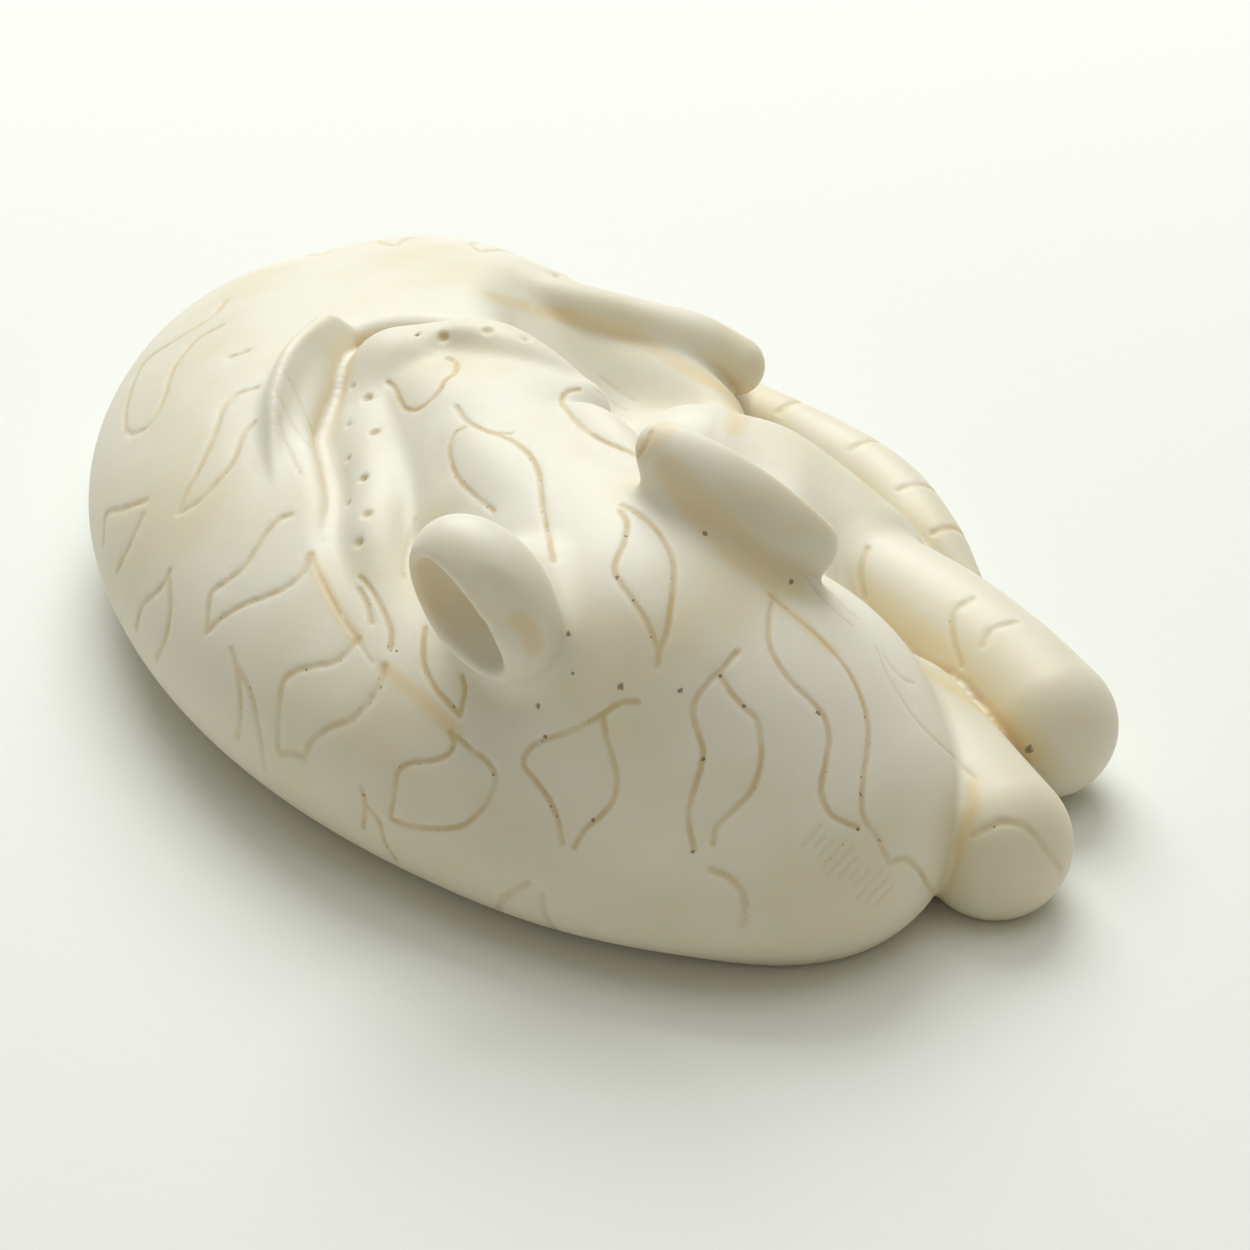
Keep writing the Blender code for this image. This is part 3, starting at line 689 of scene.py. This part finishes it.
# The finished carving
# The skin is thinned where it is smooth, brought just inside the solid's box, and marked for the finish:
# where it is carved, where stain and painted shade go along lines, and how deep each place lies between the
# masses, which sets the painted shade of crevices and recesses.
MOST_TRIANGLES = 188000
count = sum(len(polygon.vertices) - 2 for polygon in skin.polygons)
if count > MOST_TRIANGLES:
    skin = with_modifier(skin, "DECIMATE", decimate_type="COLLAPSE", ratio=MOST_TRIANGLES / count)
places = places_of(skin)
normals = normals_of(skin)

# Warm orange is painted along these lines, partly old stain and partly painted shade in the creases and
# under the parts: by the right ear, under the hind leg, beside the forepaws, in the left ear, under the jowl
# and over the shoulder. Each has its own width in mm.
STAIN_AND_SHADE_WIDTHS = (1.1, 0.55, 0.7, 0.7, 0.8, 0.45, 0.6, 2.4, 0.4, 0.45, 0.4)
stain_and_shade_lines = seen_lines(
    ((667, 473), (693, 500), (715, 525), (740, 553), (765, 572), (790, 582)),
    ((490, 297), (530, 309), (580, 322), (630, 339), (663, 355), (697, 376), (730, 396)),
    ((740, 405), (738, 418), (733, 430)),
    ((933, 677), (965, 700), (1000, 727), (1030, 758)),
    ((640, 452), (655, 440), (662, 430)),
    ((771, 596), (800, 622), (832, 652)),
    ((518, 622), (529, 633), (534, 648)),
    ((430, 582), (446, 586), (458, 594)),
    ((311, 556), (327, 592), (345, 624), (357, 641)),
    ((384, 668), (420, 700), (457, 735)),
    ((973, 785), (972, 812), (960, 843), (948, 877), (936, 903)),
)
stain_and_shade = np.zeros(len(places))
for line_places, width in zip(stain_and_shade_lines, STAIN_AND_SHADE_WIDTHS):
    stain_and_shade = np.maximum(stain_and_shade, depth_at(places, line_places, width * 2))
pricked = np.maximum(depth_at(places, pits, 0.7), 0.6 * depth_at(places, small_pits, 0.45))
etched = np.maximum(depth_at(places, grooves, 0.40), 0.7 * depth_at(places, soft_grooves, 0.54))
etched = np.maximum(etched, 0.5 * depth_at(places, scratches, 0.34))
# Painted shade: where the figure closes in within these reaches outside a place, shade is painted there,
# dark in the crevices and golden in the recesses.
CREVICE_REACH = 0.7
RECESS_REACH = 2.6
marks = {
    "carved": np.maximum(np.maximum(etched, pricked), 0.7 * depth_at(places, creases, 0.9)),
    "stain_and_shade": stain_and_shade,
    "crevice_shade": np.clip(1 - field(places + CREVICE_REACH * normals) / CREVICE_REACH, 0, 1),
    "recess_shade": np.clip(1 - field(places + RECESS_REACH * normals) / RECESS_REACH, 0, 1),
}
for name, values in marks.items():
    skin.attributes.new(name, "FLOAT", "POINT").data.foreach_set("value", values.astype(np.float32))

framed = (places + GRID_TO_FRAME) * MM
low, high = framed.min(axis=0), framed.max(axis=0)
solid_low_values, solid_high_values = np.array(solid_low), np.array(solid_high)
fit = np.minimum(1.0, (solid_high_values - solid_low_values) / (high - low) * 0.9998)
framed = (solid_low_values + solid_high_values) / 2 + (framed - (low + high) / 2) * fit
set_places(skin, framed)
skin.shade_smooth()
tiger = bpy.data.objects.new("tiger_carving", skin)
bpy.context.scene.collection.objects.link(tiger)


class Value:
    """A socket of a material, so that sums on it read as sums."""

    def __init__(self, finish, socket):
        self.finish = finish
        self.socket = socket

    def _math(self, operation, first, second=0.0):
        return self.finish.node("ShaderNodeMath", {"operation": operation}, (first, second))

    def __add__(self, other):
        return self._math("ADD", self, other)

    def __radd__(self, other):
        return self._math("ADD", other, self)

    def __sub__(self, other):
        return self._math("SUBTRACT", self, other)

    def __rsub__(self, other):
        return self._math("SUBTRACT", other, self)

    def __mul__(self, other):
        return self._math("MULTIPLY", self, other)

    def __rmul__(self, other):
        return self._math("MULTIPLY", other, self)

    def between(self, low, high):
        """0 at low, 1 at high, and eased between."""
        values = (self, low, high, 0.0, 1.0)
        return self.finish.node("ShaderNodeMapRange", {"interpolation_type": "SMOOTHSTEP"}, values)


class Finish:
    """A material, built up node by node."""

    def __init__(self, name):
        self.material = bpy.data.materials.new(name)
        self.material.use_nodes = True
        self.tree = self.material.node_tree
        self.shader = self.tree.nodes["Principled BSDF"]

    def set(self, socket, value):
        if isinstance(value, Value):
            self.tree.links.new(value.socket, socket)
        else:
            socket.default_value = value

    def node(self, kind, settings, values, output=0):
        """A node of this kind with its settings, and its sockets filled in order, or by name or number."""
        node = self.tree.nodes.new(kind)
        for name, value in settings.items():
            setattr(node, name, value)
        pairs = values.items() if isinstance(values, dict) else enumerate(values)
        for key, value in pairs:
            self.set(node.inputs[key], value)
        return Value(self, node.outputs[output])

    def attribute(self, name):
        return self.node("ShaderNodeAttribute", {"attribute_name": name}, (), 2)

    def place(self):
        """The place on the piece, in metres of its own frame."""
        return self.node("ShaderNodeTexCoord", {}, (), 3)

    def noise(self, scale, detail, roughness):
        values = {"Vector": self.place(), "Scale": scale, "Detail": detail, "Roughness": roughness}
        return self.node("ShaderNodeTexNoise", {}, values)

    def mixed(self, share, first, second):
        """Two colours mixed by a share."""
        values = {0: share, 6: first, 7: second}
        return self.node("ShaderNodeMix", {"data_type": "RGBA", "clamp_factor": True}, values, 2)


# The finish
# A pale, bone-like material rubbed smooth: cream, with tan stain and a little dark dirt in the carved lines,
# and a soft sheen. Painted shade warms it towards the bottom, turns the recesses golden and the crevices
# brown, and mixes with the orange stain along some creases. Light goes a little way into it.
CREAM = (0.810, 0.785, 0.690, 1.0)
WARM_CREAM = (0.765, 0.705, 0.540, 1.0)
# The golden tint is painted warm shade for the recesses.
GOLDEN_SHADE = (0.760, 0.650, 0.430, 1.0)
TAN_STAIN = (0.620, 0.470, 0.220, 1.0)
# The orange is partly stain and partly painted shade along creases.
ORANGE_STAIN_AND_SHADE = (0.780, 0.600, 0.320, 1.0)
# The dark brown is painted shade for the crevices.
CREVICE_SHADE_BROWN = (0.520, 0.350, 0.170, 1.0)
DARK_DIRT = (0.090, 0.055, 0.030, 1.0)
pale = Finish("pale_carving")
carved = pale.attribute("carved")
stain_and_shade = pale.attribute("stain_and_shade")
crevice_shade = pale.attribute("crevice_shade")
recess_shade = pale.attribute("recess_shade")
clouds = pale.noise(120.0, 3.0, 0.55)
patches = pale.noise(420.0, 3.0, 0.6)
grains = pale.noise(2600.0, 2.0, 0.6)
specks = pale.noise(5200.0, 1.0, 0.5)
colour = pale.mixed(clouds.between(0.42, 0.72), CREAM, WARM_CREAM)
# Painted shade: the colour is warmed towards the bottom, where the figure lies in shade.
height = pale.node("ShaderNodeSeparateXYZ", {}, (pale.place(),), 2)
colour = pale.mixed((1.0 - height.between(0.001, 0.011)) * 0.55, colour, WARM_CREAM)
# Painted shade: the recesses between the masses are tinted golden, for the warm light thrown about in them.
colour = pale.mixed(recess_shade.between(0.30, 0.95) * 0.6, colour, GOLDEN_SHADE)
# Painted shade: the crevices are darkened towards dark brown.
colour = pale.mixed(crevice_shade.between(0.35, 1.0) * 0.5, colour, CREVICE_SHADE_BROWN)
# Orange along the stain lines: partly stain, partly painted shade.
stain_and_shade_share = patches.between(0.2, 0.7) * 0.25 + 0.35
colour = pale.mixed(stain_and_shade.between(0.0, 1.0) * stain_and_shade_share, colour, ORANGE_STAIN_AND_SHADE)
held = patches.between(0.30, 0.66) * 0.5 + 0.35
colour = pale.mixed(carved.between(0.10, 1.0) * held, colour, TAN_STAIN)
dirt = carved.between(0.2, 0.7) * specks.between(0.70, 0.78) * 0.7
colour = pale.mixed(dirt, colour, DARK_DIRT)

# A few dark specks of dirt: the middle, in pixels of the photograph's frame, and the size in mm
SPECKS = (
    (621, 687, 0.26), (680, 691, 0.22), (568, 634, 0.24), (573, 673, 0.13), (545, 737, 0.20),
    (791, 582, 0.22), (703, 759, 0.18), (744, 706, 0.15), (818, 713, 0.18), (720, 676, 0.15),
    (617, 577, 0.16), (633, 600, 0.14), (593, 820, 0.16), (538, 706, 0.22), (1029, 749, 0.34),
    (858, 829, 0.16), (397, 652, 0.14), (417, 335, 0.22), (693, 852, 0.14), (705, 534, 0.20),
)
spots = seen([speck[:2] for speck in SPECKS])
here = pale.place()
wobble = (pale.noise(7000.0, 1.0, 0.5) - 0.5) * 1.6
for spot, (*_, size) in zip(spots, SPECKS):
    middle = tuple(np.array((spot + GRID_TO_FRAME) * MM).tolist())
    off = pale.node("ShaderNodeVectorMath", {"operation": "DISTANCE"}, (here, middle), 1)
    inside = 1.0 - (off * (2000.0 / size) + wobble).between(0.7, 1.3)
    colour = pale.mixed(inside * 0.7, colour, DARK_DIRT)
pale.set(pale.shader.inputs["Base Color"], colour)
pale.set(pale.shader.inputs["Roughness"], 0.42 + grains * 0.14 + carved * 0.15)
pale.shader.inputs["Subsurface Weight"].default_value = 0.25
pale.shader.inputs["Subsurface Radius"].default_value = (1.0, 0.7, 0.4)
pale.shader.inputs["Subsurface Scale"].default_value = 0.0008
pale.shader.inputs["IOR"].default_value = 1.48
relief = clouds * 0.35 + patches * 0.25 + grains * 0.10
pale.set(
    pale.shader.inputs["Normal"],
    pale.node("ShaderNodeBump", {}, {"Strength": 0.35, "Distance": 0.00022, "Height": relief}),
)
skin.materials.append(pale.material)
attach(tiger, "root")
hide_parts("tiger")

# The ground
# A plain sheet of white paper, large enough to fill the view and to throw soft light back.
PAPER_SIZE = 1.6
paper_mesh = bpy.data.meshes.new("paper")
sheet = bmesh.new()
bmesh.ops.create_grid(sheet, x_segments=2, y_segments=2, size=PAPER_SIZE / 2)
sheet.to_mesh(paper_mesh)
sheet.free()
paper = bpy.data.objects.new("paper", paper_mesh)
paper.location = (0.0, 0.0, -0.00002)
bpy.context.scene.collection.objects.link(paper)
white = Finish("white_paper")
white.shader.inputs["Base Color"].default_value = (0.86, 0.875, 0.86, 1.0)
white.shader.inputs["Roughness"].default_value = 0.85
fibre = white.noise(900.0, 4.0, 0.6)
white.set(
    white.shader.inputs["Normal"],
    white.node("ShaderNodeBump", {}, {"Strength": 0.1, "Distance": 0.0002, "Height": fibre}),
)
paper_mesh.materials.append(white.material)

# The light
# One broad soft light beyond the figure, a weaker one over it, and an even, slightly warm sky, as on a
# table by a window.
SKY = 0.29
world = bpy.data.worlds.new("sky")
world.use_nodes = True
world.node_tree.nodes["Background"].inputs["Color"].default_value = (1.0, 0.945, 0.775, 1.0)
world.node_tree.nodes["Background"].inputs["Strength"].default_value = SKY
bpy.context.scene.world = world


def soft_light(name, place, size, power, colour):
    lamp = bpy.data.lights.new(name, "AREA")
    lamp.shape = "DISK"
    lamp.size = size
    lamp.energy = power
    lamp.color = colour
    light = bpy.data.objects.new(name, lamp)
    light.location = place
    light.rotation_mode = "QUATERNION"
    light.rotation_quaternion = (-Vector(place)).to_track_quat("-Z", "Y")
    bpy.context.scene.collection.objects.link(light)


soft_light("window", (-0.26, 0.22, 0.34), 0.40, 1.95, (0.97, 1.0, 0.985))
soft_light("ceiling", (0.02, 0.06, 0.60), 0.60, 1.0, (0.98, 1.0, 0.97))
bpy.context.scene.view_settings.view_transform = "Standard"
bpy.context.scene.view_settings.look = "None"
